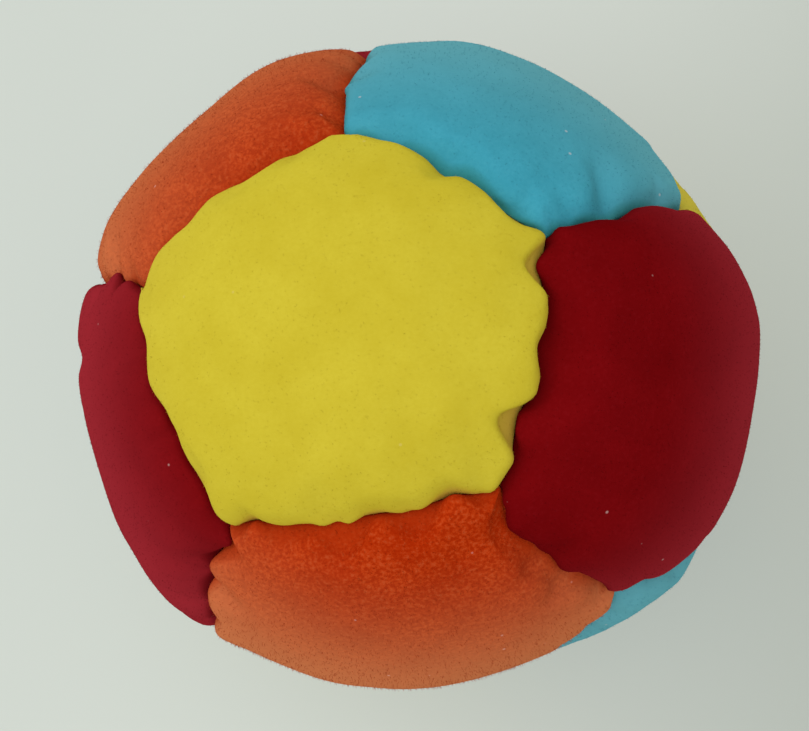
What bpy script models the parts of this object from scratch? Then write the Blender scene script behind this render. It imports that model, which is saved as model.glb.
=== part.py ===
"""A hand-sewn footbag: twelve suede pentagons round a loose granular filling.

Metres, +Z up. The bag lies slack on a level surface with its bottom panel pressed flat, and the origin is
on that surface under the middle of the bag. Every seam is sewn face to face and turned inside. So each panel
has a crowned face, an edge that rolls down into a crease, and a seam allowance that stands inwards with
needle holes in it. The threads run through those holes, and the filling swells into each panel between them.
"""

import math

import bmesh
import bpy
from mathutils import Matrix, Vector

# Sizes of the bag
CROWN_RADIUS = 0.0293  # from its middle to the top of a panel's crown, before it settles
HEIGHT = 0.050  # as it lies
REST_RADIUS = 0.0115  # of the slice that the surface presses flat
REST_BLEND = 0.0003  # height over which the flat patch runs into the rounded leather
SAG_SHARE = 0.08  # how much of its width moves from the upper half to the lower
OVAL_SHARE = 0.02  # how much wider it lies from left to right, and narrower from front to back
CENTRING = Vector((-0.0006, -0.0005, 0))  # puts the middle of the uneven bag over the origin

# Sizes of a panel
SUEDE = 0.0010  # thickness of the leather
CREASE_DEPTH = 0.0028  # from the crowns down to the seams
SEAM_ALLOWANCE = 0.0035  # leather turned in past the seam
PUCKER = 0.0004  # how much further each stitch draws the seam down
SCALLOP = 0.0003  # how far a seam bows sideways between stitches
CROWN_POWER = 3.0  # higher for a flatter face with a quicker roll at its edge

# Sizes of the sewing
STITCHES = 4  # needle holes along one seam
STITCH_DEPTH = 0.0018  # of the holes below the seam line
THREAD = 0.0005
TAIL = 0.0006  # loose end past the last hole
CLEARANCE = 0.0003  # between pieces that touch on the real bag
WELD = 0.000003  # points of the filling's lobes this close are one
HOLE_OVERRUN = 0.0005  # of a needle cut past the leather

# Worked out from the sizes above
UPRIGHT_SHARE = math.sqrt(1 - (REST_RADIUS / CROWN_RADIUS) ** 2)
HALF_HEIGHT = HEIGHT / (1 + UPRIGHT_SHARE)
MIDDLE_HEIGHT = HALF_HEIGHT * UPRIGHT_SHARE
CREASE_RADIUS = CROWN_RADIUS - CREASE_DEPTH
FLANGE_FACE = CLEARANCE / 2 + SUEDE  # from the seam to the inner face of a seam allowance
THREAD_REACH = FLANGE_FACE + CLEARANCE + THREAD / 2  # from the seam to a thread that lies along it
GROOVE = THREAD_REACH + THREAD / 2 + CLEARANCE  # half the filling's gap at a seam
THREAD_DIP = SEAM_ALLOWANCE + CLEARANCE + THREAD / 2  # depth of a thread that passes under another seam
CORE_DEPTH = THREAD_DIP + THREAD / 2 + 2 * CLEARANCE  # of the bottoms of the filling's gaps
NEEDLE_HOLE = THREAD + CLEARANCE

# The net that each panel's face is made from
SIDES = 5
SIDE_STEPS = 2 * STITCHES
RING_SHARES = (0.50, 0.76, 0.92)  # how far its rings lie from the middle to the seam
LOBE_RING_SHARES = (0.57, 0.88)  # the same, for a lobe of the filling

# Which sides of a panel's loop, below, are which seam
GIRDLE_SIDES = (4, 0)  # the two of an upper panel that meet the lower ones
NEIGHBOUR_SIDES = {"upper": 3, "lower": 4}  # the one shared with the panel before it in its ring
OPENING = 3  # number of the upper panel whose first girdle seam is closed after filling

# Where the panels face: a top and a bottom one, and two rings of five
LEAN = math.atan(2)  # a dodecahedron's faces lean so far from the one they meet
FRONT = -math.pi / 2
FIFTH = math.tau / SIDES

# Hand-cut panels are never quite alike: how far some seam ends lie from a true dodecahedron's corners,
# to the right and up as seen from outside, in shares of a seam's length
SEAM_ANGLE = 2 * math.asin(2 / (math.sqrt(3) * (1 + math.sqrt(5))))
SHIFT_SHARES = {
    ("top", 0): (0.02, -0.06),
    ("top", 1): (0.04, -0.04),
    ("top", 2): (-0.04, 0.04),
    ("top", 3): (-0.02, -0.16),
    ("top", 4): (-0.05, -0.13),
    ("shoulder", 0): (0.06, -0.01),
    ("shoulder", 1): (0.07, -0.08),
    ("shoulder", 2): (0.0, -0.03),
    ("shoulder", 3): (-0.05, -0.04),
    ("shoulder", 4): (-0.07, -0.30),
    ("hip", 0): (-0.05, -0.20),
    ("hip", 3): (0.0, -0.12),
    ("hip", 4): (0.38, 0.05),
}

# How much higher or lower than the rest the filling pushes some panels' crowns
FULLNESS = {
    "upper_panel_right": 0.0013,
    "upper_panel_left": -0.0004,
    "upper_panel_back_right": -0.0005,
    "upper_panel_back_left": 0.0002,
    "lower_panel_front_right": -0.0001,
    "lower_panel_back_right": -0.0008,
}

# How much further out than an oval the slack bag lies, in millimetres, every 15 degrees anticlockwise
# from the right
OUTLINE_MM = (
    (0.30, 0.10, -0.55, -0.42, 0.0, 0.40, 0.25, 0.50, -0.45, -0.50, 0.0, 0.35)
    + (-0.28, -0.55, 0.12, 1.10, 0.05, -0.34, -0.20, -0.38, -0.30, 0.60, 0.25, -0.40)
)

COLOURS = {
    "yellow": "#C9BA38",
    "orange": "#B2421C",
    "crimson": "#74101A",
    "blue": "#3F96A7",
    "thread": "#2E2B28",
    "pellets": "#B9B4A6",
}

PANEL_COLOURS = {
    "top_panel": "yellow",
    "upper_panel_front": "orange",
    "upper_panel_right": "crimson",
    "upper_panel_back_right": "blue",
    "upper_panel_back_left": "orange",
    "upper_panel_left": "crimson",
    "lower_panel_front_right": "blue",
    "lower_panel_back_right": "yellow",
    "lower_panel_back": "crimson",
    "lower_panel_back_left": "blue",
    "lower_panel_front_left": "yellow",
    "bottom_panel": "orange",
}


def facing(polar, azimuth):
    """Unit direction this far from straight up, at this azimuth."""
    return Vector(
        (math.sin(polar) * math.cos(azimuth), math.sin(polar) * math.sin(azimuth), math.cos(polar))
    )


def seam_ends():
    """Unit direction of each of the twenty places where three seams meet, by tier and number."""
    up = Vector((0, 0, 1))
    upper = [facing(LEAN, FRONT + k * FIFTH) for k in range(SIDES)]
    lower = [facing(math.pi - LEAN, FRONT + (k + 0.5) * FIFTH) for k in range(SIDES)]
    ends = {}
    for k in range(SIDES):
        after = (k + 1) % SIDES
        ends["top", k] = up + upper[k] + upper[after]
        ends["shoulder", k] = upper[k] + upper[after] + lower[k]
        ends["hip", k] = upper[after] + lower[k] + lower[after]
        ends["base", k] = lower[k] + lower[after] - up
    for key, end in ends.items():
        end.normalize()
        right = up.cross(end).normalized()
        share_right, share_up = SHIFT_SHARES.get(key, (0, 0))
        end += (right * share_right + end.cross(right) * share_up) * SEAM_ANGLE
        end.normalize()
    return ends


def panel_loops():
    """The five seam ends of each panel, by the panel's name, anticlockwise as seen from outside."""
    loops = [[("top", k) for k in range(SIDES)]]
    for k in range(SIDES):
        before = (k - 1) % SIDES
        loops.append([("hip", before), ("shoulder", k), ("top", k), ("top", before), ("shoulder", before)])
    for k in range(SIDES):
        before = (k - 1) % SIDES
        loops.append([("base", before), ("base", k), ("hip", k), ("shoulder", k), ("hip", before)])
    loops.append([("base", k) for k in reversed(range(SIDES))])
    return dict(zip(PANEL_COLOURS, loops))


ENDS = seam_ends()
LOOPS = panel_loops()
SIDE_OWNERS = {
    (loop[side], loop[(side + 1) % SIDES]): name for name, loop in LOOPS.items() for side in range(SIDES)
}


def outline(offset):
    """How much further out than an oval the bag lies in this direction, on a curve through the table."""
    turn = math.atan2(offset.y, offset.x) / math.tau * len(OUTLINE_MM)
    number = math.floor(turn)
    a, b, c, d = (OUTLINE_MM[(number + k) % len(OUTLINE_MM)] / 1000 for k in (-1, 0, 1, 2))
    share = turn - number
    return b + share * (c - a + share * (2 * a - 5 * b + 4 * c - d + share * (3 * (b - c) + d - a))) / 2


def settled(offset, rise=0.0):
    """Where a point of the round bag goes when the bag lies slack: wider low down, flat where it rests."""
    level = offset.z / CROWN_RADIUS
    reach = math.hypot(offset.x, offset.y) / CROWN_RADIUS
    spread = 1 - SAG_SHARE * level * (1 - level * level) + outline(offset) / CROWN_RADIUS * reach**2
    height = MIDDLE_HEIGHT + offset.z * HALF_HEIGHT / CROWN_RADIUS - rise
    if height < -REST_BLEND:
        height = 0.0
    elif height < REST_BLEND:
        height = (height + REST_BLEND) ** 2 / (4 * REST_BLEND)
    across, along = spread * (1 + OVAL_SHARE), spread * (1 - OVAL_SHARE)
    return Vector((offset.x * across, offset.y * along, height + rise)) + CENTRING


def stitch_pull(share):
    """1 where a stitch draws the seam down, 0 midway between stitches."""
    return math.sin(STITCHES * math.pi * share) ** 2


def bow(share):
    """1 where a seam bows most between stitches, 0 at each stitch and at the seam's ends."""
    return math.cos(STITCHES * math.pi * share) ** 2 * math.sin(math.pi * share)


def unsettled_reach(inward, reach):
    """How far to go in the round bag, square to a seam, for this reach once the bag has settled."""
    return reach * Vector((inward.x, inward.y, inward.z * CROWN_RADIUS / HALF_HEIGHT)).length


def seam_place(loop, side, share, depth, setback):
    """A point at a share of one side of a panel, so deep below the seam and so far in from it."""
    here, there = ENDS[loop[side]], ENDS[loop[(side + 1) % SIDES]]
    inward = here.cross(there).normalized()
    away = unsettled_reach(inward, setback)
    offset = inward * away
    if share == 0:
        before = ENDS[loop[side - 1]].cross(here).normalized()
        away_before, lean = unsettled_reach(before, setback), inward.dot(before)
        offset = (inward * (away - lean * away_before) + before * (away_before - lean * away)) / (1 - lean**2)
    return here.slerp(there, share) * (CREASE_RADIUS - depth) + offset


def side_shares(steps):
    """Each side of a panel and each step along it, once round the panel."""
    return [(side, step / steps) for side in range(SIDES) for step in range(steps)]


def bowed_ring(name, steps, depth, bow_size, pull):
    """One ring of a panel's points along its five seams, half a clearance inside them."""
    loop = LOOPS[name]
    ring = []
    for side, share in side_shares(steps):
        edge = (loop[side], loop[(side + 1) % SIDES])
        over = list(LOOPS).index(name) < list(LOOPS).index(SIDE_OWNERS[edge[1], edge[0]])
        setback = CLEARANCE / 2 + bow_size * bow(share) * (-1 if over else 1)
        ring.append(seam_place(loop, side, share, depth + pull * stitch_pull(share), setback))
    return ring


def crown_ring(middle, rim, share, rise, step):
    """Every step-th point of a ring that lies at this share of the way from a panel's middle to its rim."""
    ring = []
    for number in range(0, len(rim), step):
        reach = rim[number].length
        towards = middle.lerp(rim[number] / reach, share).normalized()
        ring.append(towards * (reach + rise))
    return ring


def crown_rise(name, share):
    """How high a panel's crown stands above its seams, at this share of the way to them."""
    return (CREASE_DEPTH + FULLNESS.get(name, 0)) * math.sqrt(1 - share**CROWN_POWER)


def panel_middle(name):
    """Unit direction of a panel's middle."""
    return sum((ENDS[key] for key in LOOPS[name]), Vector()).normalized()


def join_rings(bm, inner, outer):
    """Faces between two rings of vertices, where one may have twice the points of the other."""
    few, many = sorted((inner, outer), key=len)
    for i, start in enumerate(few):
        end = few[(i + 1) % len(few)]
        if len(few) == len(many):
            following = outer[(i + 1) % len(outer)]
            bm.faces.new((inner[i], outer[i], following, inner[(i + 1) % len(inner)]))
            continue
        first, between, last = (many[(2 * i + k) % len(many)] for k in range(3))
        for corners in ((start, first, between), (start, between, end), (end, between, last)):
            bm.faces.new(corners if few is inner else corners[::-1])


def net(bm, middle, rings, rise=0.0):
    """A face from a middle point out through its rings, all settled as the bag is."""
    centre = bm.verts.new(settled(middle, rise))
    rows = [[bm.verts.new(settled(point, rise)) for point in ring] for ring in rings]
    for i, vertex in enumerate(rows[0]):
        bm.faces.new((centre, vertex, rows[0][(i + 1) % len(rows[0])]))
    for inner, outer in zip(rows, rows[1:]):
        join_rings(bm, inner, outer)


def finish_mesh(bm, name, place=Vector()):
    """An object from a mesh that is shaped in the bag's own frame, with its origin at the given place."""
    bmesh.ops.translate(bm, verts=bm.verts, vec=-place)
    mesh = bpy.data.meshes.new(name)
    bm.to_mesh(mesh)
    bm.free()
    obj = bpy.data.objects.new(name, mesh)
    obj.location = place
    return obj


def linear(part):
    """One channel of an sRGB colour as the linear value that a material takes."""
    return part / 12.92 if part <= 0.04045 else ((part + 0.055) / 1.055) ** 2.4


def material(name, roughness):
    """A plain material in one of the bag's colours, made once and then shared."""
    if name in bpy.data.materials:
        return bpy.data.materials[name]
    made = bpy.data.materials.new(name)
    made.use_nodes = True
    shader = made.node_tree.nodes["Principled BSDF"]
    code = COLOURS[name]
    channels = [linear(int(code[i : i + 2], 16) / 255) for i in (1, 3, 5)]
    shader.inputs["Base Color"].default_value = (*channels, 1)
    shader.inputs["Roughness"].default_value = roughness
    shader.inputs["Metallic"].default_value = 0
    return made


def needle_cuts(name):
    """Square prisms through a panel's seam allowances, one at each needle hole."""
    loop = LOOPS[name]
    bm = bmesh.new()
    for side in range(SIDES):
        for stitch in range(STITCHES):
            share = (stitch + 0.5) / STITCHES
            inner = settled(seam_place(loop, side, share, STITCH_DEPTH, THREAD_REACH))
            outer = settled(seam_place(loop, side, share, STITCH_DEPTH, -THREAD_REACH))
            across = (inner - outer).normalized()
            ahead = across.cross(inner + outer - 2 * settled(Vector())).normalized()
            turn = Matrix((across, ahead, across.cross(ahead))).transposed().to_4x4()
            length = 2 * (FLANGE_FACE + HOLE_OVERRUN)
            bmesh.ops.create_cube(
                bm,
                size=1,
                matrix=Matrix.Translation((inner + outer) / 2)
                @ turn
                @ Matrix.Diagonal((length, NEEDLE_HOLE, NEEDLE_HOLE, 1)),
            )
    cuts = finish_mesh(bm, "needle_cuts_" + name)
    cuts.hide_render = True
    cuts.display_type = "WIRE"
    return cuts


def make_panel(name):
    """One suede pentagon: crowned face, rolled edge and turned-in seam allowance, with its needle holes."""
    middle = panel_middle(name)
    rim = bowed_ring(name, SIDE_STEPS, 0, SCALLOP, 0)
    rings = []
    for number, share in enumerate(RING_SHARES):
        step = 2 if number == 0 else 1
        rings.append(crown_ring(middle, rim, share, crown_rise(name, share), step))
    rings.append(bowed_ring(name, SIDE_STEPS, 0, SCALLOP, PUCKER))
    rings.append(bowed_ring(name, STITCHES, SEAM_ALLOWANCE, 0, 0))
    bm = bmesh.new()
    net(bm, middle * (CREASE_RADIUS + crown_rise(name, 0)), rings)
    panel = finish_mesh(bm, name, settled(middle * CREASE_RADIUS))
    panel.data.shade_smooth()
    wall = panel.modifiers.new("leather", "SOLIDIFY")
    wall.thickness = SUEDE
    wall.offset = -1
    wall.use_even_offset = True
    cuts = needle_cuts(name)
    holes = panel.modifiers.new("needle holes", "BOOLEAN")
    holes.operation = "DIFFERENCE"
    holes.solver = "EXACT"
    holes.object = cuts
    panel.data.materials.append(material(PANEL_COLOURS[name], 0.95))
    return panel, cuts


def make_filling():
    """The loose pellets as one solid: a lobe under each panel, with gaps between for the seams."""
    bm = bmesh.new()
    under = SUEDE + CLEARANCE
    for name, loop in LOOPS.items():
        middle = panel_middle(name)
        shares = side_shares(STITCHES)
        rim = [seam_place(loop, side, share, 0, GROOVE) for side, share in shares]
        rings = []
        for number, share in enumerate(LOBE_RING_SHARES):
            rise = crown_rise(name, share) - under - CLEARANCE
            rings.append(crown_ring(middle, rim, share, rise, 2 if number == 0 else 1))
        rings.append([seam_place(loop, side, share, under + CLEARANCE, GROOVE) for side, share in shares])
        rings.append([seam_place(loop, side, share, CORE_DEPTH, GROOVE) for side, share in shares])
        rings.append([seam_place(loop, side, share, CORE_DEPTH, 0) for side, share in shares])
        net(bm, middle * (CREASE_RADIUS + crown_rise(name, 0) - under - CLEARANCE), rings, under)
    bmesh.ops.remove_doubles(bm, verts=bm.verts, dist=WELD)
    filling = finish_mesh(bm, "filling")
    filling.data.shade_smooth()
    filling.data.materials.append(material("pellets", 0.8))
    return filling


def stitched(loop, side):
    """The thread's places along one side of a panel: through at each hole, along either side in turn."""
    places = []
    for stitch in range(STITCHES):
        share = (stitch + 0.5) / STITCHES
        reach = THREAD_REACH if stitch % 2 == 0 else -THREAD_REACH
        places.append(seam_place(loop, side, share, STITCH_DEPTH, reach))
        places.append(seam_place(loop, side, share, STITCH_DEPTH, -reach))
    return places


def with_tails(places):
    """The same places with a loose end added at each end, in line with the nearest stitch on that side."""
    start = places[0] + (places[0] - places[3]).normalized() * TAIL
    end = places[-1] + (places[-1] - places[-4]).normalized() * TAIL
    return [start, *places, end]


def make_thread(name, places):
    """One thread as an unbroken tube through its places, which are given in the round bag."""
    curve = bpy.data.curves.new(name, "CURVE")
    curve.dimensions = "3D"
    spline = curve.splines.new("POLY")
    spline.points.add(len(places) - 1)
    for point, place in zip(spline.points, places):
        point.co = (*settled(place), 1)
    curve.bevel_depth = THREAD / 2
    curve.bevel_resolution = 0
    curve.use_fill_caps = True
    curve.materials.append(material("thread", 0.6))
    return bpy.data.objects.new(name, curve)


def ring_thread(name, loop):
    """The thread that sews a top or bottom panel to the five round it, inside the panel at its corners."""
    places = []
    for side in range(SIDES):
        if side:
            places.append(seam_place(loop, side, 0, STITCH_DEPTH, THREAD_REACH))
        places += stitched(loop, side)
    return make_thread(name, with_tails(places))


def girdle_threads(loops, opening):
    """The zigzag thread that joins the two halves, and the one that closes the last seam after filling."""
    lead, trail = GIRDLE_SIDES
    first_hole, last_hole = 0.5 / STITCHES, 1 - 0.5 / STITCHES
    places = stitched(loops[opening], trail)
    before = loops[opening]
    for turn in range(1, SIDES):
        loop = loops[(opening + turn) % SIDES]
        places.append(seam_place(before, trail, last_hole, THREAD_DIP, THREAD_REACH))
        places.append(seam_place(loop, lead, first_hole, THREAD_DIP, THREAD_REACH))
        places += stitched(loop, lead)
        places.append(seam_place(loop, trail, 0, STITCH_DEPTH, THREAD_REACH))
        places += stitched(loop, trail)
        before = loop
    return [
        make_thread("girdle_thread", with_tails(places)),
        make_thread("closing_thread", with_tails(stitched(loops[opening], lead))),
    ]


def make_threads():
    """Every thread: two rings, ten seams between neighbours in a ring, the girdle and its closing seam."""
    upper = [loop for name, loop in LOOPS.items() if name.startswith("upper")]
    lower = [loop for name, loop in LOOPS.items() if name.startswith("lower")]
    threads = [
        ring_thread("top_ring_thread", LOOPS["top_panel"]),
        ring_thread("bottom_ring_thread", LOOPS["bottom_panel"]),
    ]
    for half, loops in (("upper", upper), ("lower", lower)):
        for number, loop in enumerate(loops, 1):
            places = with_tails(stitched(loop, NEIGHBOUR_SIDES[half]))
            threads.append(make_thread(f"{half}_seam_thread_{number}", places))
    return threads + girdle_threads(upper, OPENING)


def main():
    for obj in list(bpy.data.objects):
        bpy.data.objects.remove(obj, do_unlink=True)
    parts = bpy.data.collections.new("footbag")
    cutters = bpy.data.collections.new("cutters")
    for collection in (parts, cutters):
        bpy.context.scene.collection.children.link(collection)
    base = bpy.data.objects.new("resting_point", None)
    parts.objects.link(base)
    made = []
    for name in PANEL_COLOURS:
        panel, cuts = make_panel(name)
        made.append(panel)
        cutters.objects.link(cuts)
    made.append(make_filling())
    made += make_threads()
    for obj in made:
        parts.objects.link(obj)
        obj.parent = base


main()
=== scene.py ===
"""The looks of a hand-sewn footbag: twelve suede pentagons, sewn and turned, round loose pellets.

Metres, +Z up, in the CAD model's frame. A panel is first shaped on a round bag, where every seam lies in
a plane through the bag's middle. Cloth simulation puffs it out between its stitches. Then each seam leans
over one of its two panels, and the whole bag settles as the CAD does: wider low down, and flat where it
rests.
"""

import math
from collections import namedtuple

import bpy
import numpy as np
from mathutils import Matrix, Vector


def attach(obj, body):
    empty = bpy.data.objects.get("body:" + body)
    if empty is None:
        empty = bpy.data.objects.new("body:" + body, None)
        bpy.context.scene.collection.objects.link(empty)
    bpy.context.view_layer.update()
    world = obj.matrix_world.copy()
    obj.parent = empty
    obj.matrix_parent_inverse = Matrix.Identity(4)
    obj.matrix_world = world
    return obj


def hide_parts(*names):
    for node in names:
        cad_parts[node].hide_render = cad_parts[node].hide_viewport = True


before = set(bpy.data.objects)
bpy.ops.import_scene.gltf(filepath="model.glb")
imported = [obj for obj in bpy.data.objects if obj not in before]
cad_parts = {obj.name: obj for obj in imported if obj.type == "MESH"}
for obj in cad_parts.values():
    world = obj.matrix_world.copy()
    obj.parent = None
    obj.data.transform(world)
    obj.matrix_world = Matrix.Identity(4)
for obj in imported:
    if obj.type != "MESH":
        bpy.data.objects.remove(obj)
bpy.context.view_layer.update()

# Sizes that repeat the CAD model's
MM = 0.001
CROWN_RADIUS = 29.3 * MM
HEIGHT = 50 * MM
REST_RADIUS = 11.5 * MM  # of the slice that the surface presses flat
REST_BLEND = 0.3 * MM  # height over which the flat patch runs into the rounded suede
SAG_SHARE = 0.08
OVAL_SHARE = 0.02
CENTRING = np.array((-0.6 * MM, -0.5 * MM, 0))
SUEDE = 1.0 * MM
CREASE_DEPTH = 2.8 * MM
SEAM_ALLOWANCE = 3.5 * MM
SEAM_GAP = 0.08 * MM  # sewn panels touch; this keeps their faces apart
STITCHES = 4  # needle holes along a seam
UPRIGHT_SHARE = math.sqrt(1 - (REST_RADIUS / CROWN_RADIUS) ** 2)
HALF_HEIGHT = HEIGHT / (1 + UPRIGHT_SHARE)
MIDDLE_HEIGHT = HALF_HEIGHT * UPRIGHT_SHARE
CREASE_RADIUS = CROWN_RADIUS - CREASE_DEPTH

# How a panel swells between its seams
ROLL_DEPTH = 1.75 * MM  # from the crease up to where the edge has rolled over
ROLL_WIDTH = 1.35 * MM
UNDER_ROLL_WIDTH = 2.8 * MM  # the same, on the side of a seam that lies under the other
DOME_WIDTH = 13 * MM  # from a seam to where the crown is full
DOME_POWER = 2.2
SWELL_WIDTH = 8.5 * MM  # the same, for a panel that is fuller than the rest
DOME_DEPTH = 0.25 * MM  # the simulation adds the rest of the crown
PUCKER_DEPTH = 0.15 * MM  # how far a stitch draws the rolled edge down
UNDER_PUCKER_DEPTH = 0.75 * MM  # the same, on the side that lies under the other
PUCKER_WIDTH = 0.95 * MM
PUCKER_REACH = 2.2 * MM
LUMP = 0.10 * MM  # unevenness of the filling under the suede
LUMP_WAVE = 7 * MM
LUMP_WAVES = 9  # waves that cross each other to make the lumps
LUMP_SPREAD = (0.7, 1.6)  # their lengths, as shares of LUMP_WAVE
PULL_SPREAD = (0.6, 1.2)  # how hard single stitches pull, as shares of a pucker's depth

# How a seam runs
WAVE = 0.40 * MM  # how far a panel puffs over its neighbour between two stitches
LEAN = 0.25 * MM  # how far the upper edge of a seam lies over the lower one
WAVE_SPREAD = (0.7, 1.2)  # how uneven these two are from seam to seam, as shares of them
LEAN_SPREAD = (0.5, 1.5)
LEAN_REACH = 4 * MM  # how far from the seam the suede is drawn along
LEAN_START = 0.3 * MM  # below the crease, where the lean begins
LEAN_RISE = 1.5 * MM  # from there up to where it is full
LEAN_END = 0.2  # how far past its ends a seam still leans, as a share of the seam
EDGE_END = 0.1  # share of a seam at each end where an evenly sewn edge comes back to it
STITCH_SCATTER = 0.05  # a hand's unevenness, in shares of a seam
EDGE_STEPS = 24  # even steps in which an edge's way along its seam is stored

SIDES = 5
SIDE_STEPS = 64  # points along one side of a finished panel
RINGS = 48  # from its edge to its middle
LINING_STEP = 4  # the inner face has one ring for so many of the outer face's
ALLOWANCE_SHARES = (0.12, 0.35, 0.65, 1.0)

PANEL_COLOURS = {
    "top_panel": "yellow",
    "upper_panel_front": "orange",
    "upper_panel_right": "crimson",
    "upper_panel_back_right": "blue",
    "upper_panel_back_left": "orange",
    "upper_panel_left": "crimson",
    "lower_panel_front_right": "blue",
    "lower_panel_back_right": "yellow",
    "lower_panel_back": "crimson",
    "lower_panel_back_left": "blue",
    "lower_panel_front_left": "yellow",
    "bottom_panel": "orange",
}
# Pairs where the panel named first lies over one that comes before it in the list above
LIES_OVER = {
    ("upper_panel_front", "top_panel"),
    ("upper_panel_right", "upper_panel_front"),
    ("upper_panel_left", "upper_panel_back_left"),
}
# Seams that were sewn less evenly than the rest, by the panel on top and the one under it: where the
# needle went through, and then each place where the edge of the panel on top turns, with how far it lies
# over its neighbour there, in millimetres. Places are shares of the seam from that panel's first corner.
HAND_SEAMS = {
    ("top_panel", "upper_panel_right"): (
        (0.07, 0.28, 0.54, 0.81),
        ((0.12, 0.2), (0.27, -2.0), (0.37, 0.8), (0.46, 0.9))
        + ((0.60, 0.8), (0.73, 0.3), (0.84, -1.9)),
    ),
    ("top_panel", "upper_panel_back_right"): (
        (0.16, 0.52, 0.84),
        ((0.16, -0.8), (0.46, 1.0), (0.54, 0.4))
        + ((0.64, 0.8), (0.75, 1.0), (0.96, 0.6)),
    ),
    ("top_panel", "upper_panel_back_left"): (
        (0.20, 0.66, 0.93),
        ((0.04, 0.8), (0.12, 0.5), (0.21, 1.0), (0.35, 0.5))
        + ((0.54, 1.4), (0.66, 0.9), (0.79, 0.5), (0.95, -1.4)),
    ),
    ("top_panel", "upper_panel_left"): (
        (0.05, 0.25, 0.62, 0.81),
        ((0.04, -0.9), (0.16, -0.6), (0.27, -0.9), (0.42, 0.2))
        + ((0.54, -0.5), (0.60, -0.3), (0.87, -0.6), (0.96, 0.2)),
    ),
    ("upper_panel_front", "top_panel"): (
        (0.07, 0.31, 0.58, 0.79),
        ((0.05, -0.7), (0.17, 1.1), (0.30, -1.0), (0.43, 0.4), (0.57, -1.8))
        + ((0.67, -0.4), (0.79, -1.3), (0.88, 0.6), (0.95, -0.5)),
    ),
    ("upper_panel_front", "upper_panel_left"): (
        (0.12, 0.31, 0.60, 0.86),
        ((0.07, -1.8), (0.24, 0.7), (0.31, -0.6), (0.41, 0.5))
        + ((0.50, 0.3), (0.57, -0.2), (0.90, 0.3)),
    ),
    ("upper_panel_right", "upper_panel_back_right"): (
        (0.22, 0.62, 0.88),
        ((0.12, 0.1), (0.24, 0.3), (0.41, 0.8), (0.58, 0.7))
        + ((0.67, 0.4), (0.87, 0.4), (0.96, 0.7)),
    ),
    ("upper_panel_right", "upper_panel_front"): (
        (0.10, 0.42, 0.66, 0.90),
        ((0.05, 1.2), (0.17, 2.4), (0.42, 2.4), (0.48, 2.2))
        + ((0.56, 2.4), (0.67, 2.4), (0.88, 1.0), (0.96, 1.2)),
    ),
    ("upper_panel_back_right", "upper_panel_back_left"): (
        (0.14, 0.38, 0.60, 0.86),
        ((0.04, 0.3), (0.37, -0.1), (0.48, 0.5))
        + ((0.62, 1.4), (0.74, 0.6), (0.96, 0.5)),
    ),
    ("upper_panel_left", "upper_panel_back_left"): (
        (0.15, 0.40, 0.64, 0.88),
        ((0.10, 0.8), (0.17, -0.2), (0.32, 2.1))
        + ((0.41, 0.3), (0.95, 0.3)),
    ),
}
# Seams where the panel named first lies further over the other, all along
LEANING = {
    ("upper_panel_front", "lower_panel_front_right"): 0.9 * MM,
    ("upper_panel_right", "lower_panel_front_right"): 0.9 * MM,
    ("upper_panel_right", "lower_panel_back_right"): 0.9 * MM,
    ("upper_panel_back_left", "lower_panel_back_left"): 1.4 * MM,
    ("upper_panel_left", "lower_panel_back_left"): 1.2 * MM,
}
# Panels that the filling has pushed out further than the rest, or less
FULLNESS = {
    "upper_panel_right": 1.3 * MM,
    "upper_panel_back_right": -0.5 * MM,
    "upper_panel_back_left": 0.2 * MM,
    "upper_panel_left": -0.5 * MM,
    "lower_panel_front_right": 0.25 * MM,
    "lower_panel_back_right": -0.8 * MM,
    "lower_panel_back_left": -0.8 * MM,
}
# Single folds: the panel, where the fold is deepest and where it ends, each as degrees from straight up and
# anticlockwise from the right, then its depth and its width
FOLDS = (
    ("upper_panel_left", (78, 174.5), (51, 178), 0.60 * MM, 0.9 * MM),
    ("upper_panel_left", (54, 160), (60, 168), 0.45 * MM, 0.9 * MM),
    ("upper_panel_back_left", (55, 157), (62, 150), 0.40 * MM, 1.0 * MM),
    ("upper_panel_front", (43, -52), (54, -56), 0.45 * MM, 0.8 * MM),
    ("upper_panel_front", (62, -51), (71, -56), 0.50 * MM, 0.8 * MM),
    ("upper_panel_front", (60, -127), (61, -115), 0.35 * MM, 0.8 * MM),
    ("upper_panel_back_right", (53, 22), (65, 37), 0.80 * MM, 1.4 * MM),
    ("upper_panel_back_right", (34, 73), (40, 70), 0.45 * MM, 0.8 * MM),
)

LEAN_ANGLE = math.atan(2)  # between the middles of a dodecahedron's neighbouring sides
FIFTH = math.tau / SIDES
SEAM_ANGLE = 2 * math.asin(2 / (math.sqrt(3) * (1 + math.sqrt(5))))  # that one of its edges spans
# How far a seam's end lies from a dodecahedron's corner, to the right and up, as shares of a seam
SHIFT_SHARES = {
    ("top", 0): (0.02, -0.06),
    ("top", 1): (0.04, -0.04),
    ("top", 2): (-0.04, 0.04),
    ("top", 3): (-0.02, -0.16),
    ("top", 4): (-0.05, -0.13),
    ("shoulder", 0): (0.06, -0.01),
    ("shoulder", 1): (0.07, -0.08),
    ("shoulder", 2): (0.0, -0.03),
    ("shoulder", 3): (-0.05, -0.04),
    ("shoulder", 4): (-0.07, -0.30),
    ("hip", 0): (-0.05, -0.20),
    ("hip", 3): (0.0, -0.12),
    ("hip", 4): (0.38, 0.05),
}

# How much further out than an oval the slack bag lies, every 15 degrees anticlockwise from the right
OUTLINE = MM * np.array(
    (0.30, 0.10, -0.55, -0.42, 0.0, 0.40, 0.25, 0.50, -0.45, -0.50, 0.0, 0.35)
    + (-0.28, -0.55, 0.12, 1.10, 0.05, -0.34, -0.20, -0.38, -0.30, 0.60, 0.25, -0.40)
)

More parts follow.
